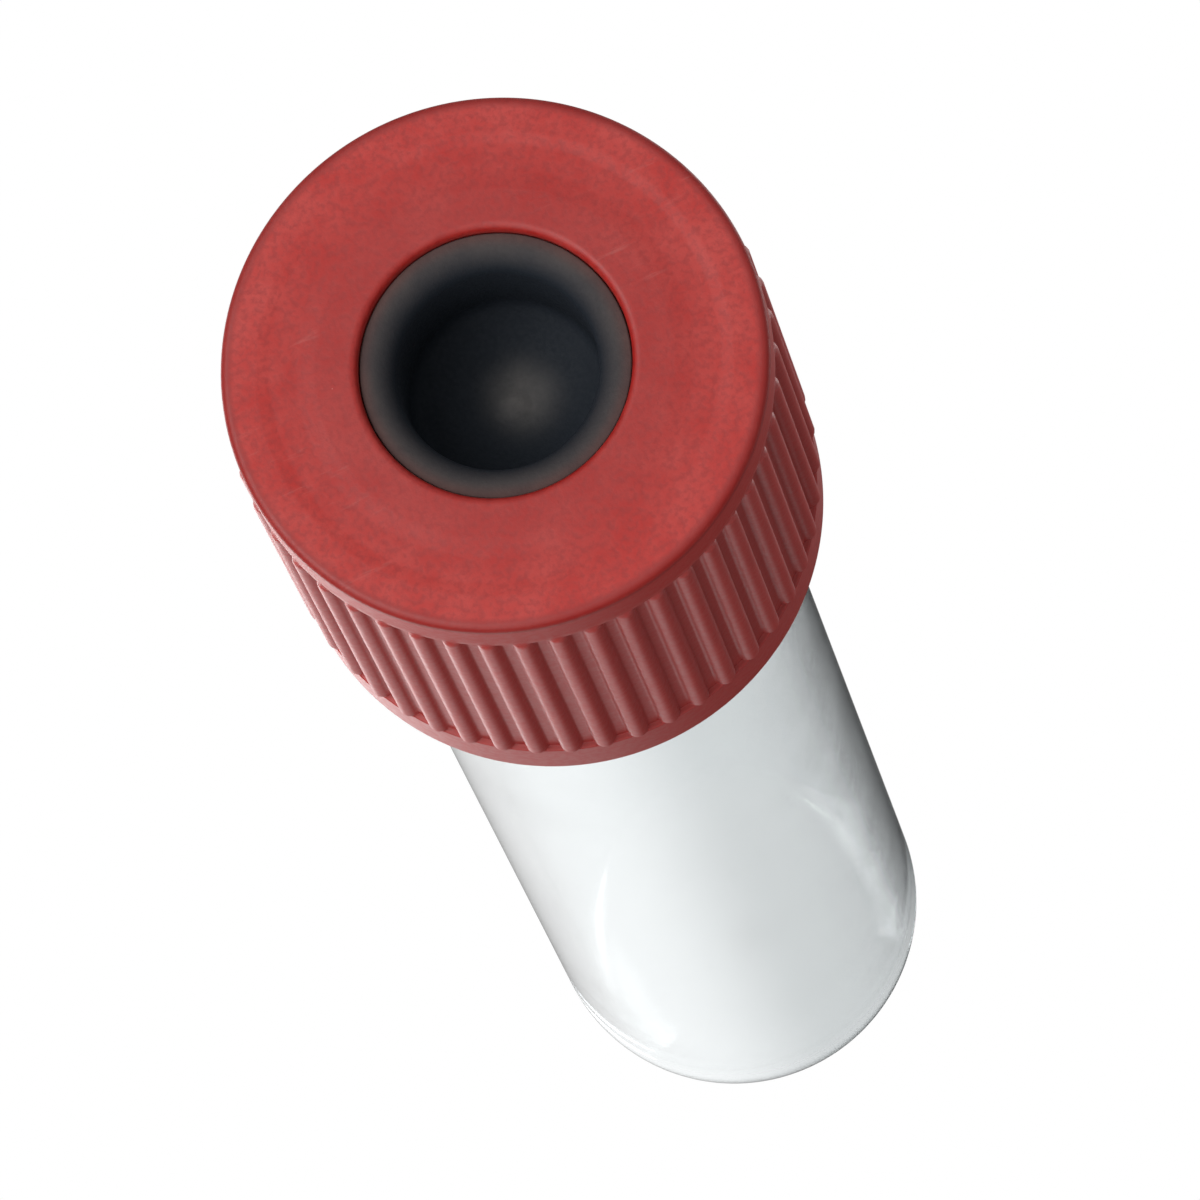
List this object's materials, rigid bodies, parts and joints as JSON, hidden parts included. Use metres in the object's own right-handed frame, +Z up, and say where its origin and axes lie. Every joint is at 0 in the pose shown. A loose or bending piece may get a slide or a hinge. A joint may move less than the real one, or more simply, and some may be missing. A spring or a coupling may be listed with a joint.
{
  "type": "blood collection tube",
  "caption": "Clear round-bottomed sample tube with a ribbed red safety cap whose hole shows a dark rubber stopper with a needle well; the tube pulls off its cap and stopper.",
  "frame": {"origin": "on the bench, at the middle of the cap's flat top, on which the tube stands upside down", "axes": "+Z up the axis of the whole, from the cap's top to the tube's round end; X and Y across it, both in valleys between two ribs"},
  "size_m": [0.017, 0.017, 0.083],
  "materials": {
    "clear_plastic": "gloss",
    "stopper_rubber": "matte",
    "red_plastic": "satin"
  },
  "bodies": {
    "closure": {"cap": "red_plastic", "stopper": "stopper_rubber"},
    "tube": {"tube": "clear_plastic"}
  },
  "joints": [
    {"name": "closure_pull", "type": "slide", "parent": "closure", "child": "tube", "axis": [0, 0, 1], "range_m": [0, 0.03]}
  ]
}
